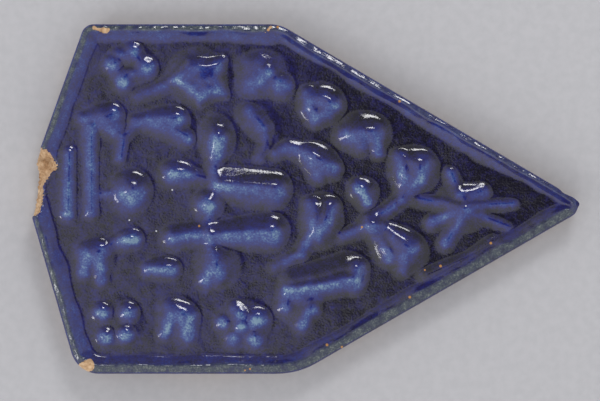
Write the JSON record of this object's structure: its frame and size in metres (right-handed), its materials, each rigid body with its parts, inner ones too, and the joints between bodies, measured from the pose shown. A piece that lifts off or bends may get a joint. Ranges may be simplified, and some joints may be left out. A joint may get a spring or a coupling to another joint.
{
  "type": "kite-shaped hexagon wall tile",
  "caption": "Moulded stonepaste wall tile in a long kite-shaped hexagon, with a raised rim, a floral relief under deep blue glaze and a flat bare back.",
  "frame": {"origin": "middle of the flat back face, halfway between the back point and the sharp tip of the uncut outline", "axes": "+X to the sharp tip, +Y to the upper straight side as seen from the face, +Z out of the glazed face"},
  "size_m": [0.15, 0.0956, 0.0101],
  "materials": {
    "glazed_stonepaste": "glossy cobalt blue glaze over a buff stonepaste body"
  },
  "bodies": {
    "root": {"tile": "glazed_stonepaste"}
  },
  "joints": []
}
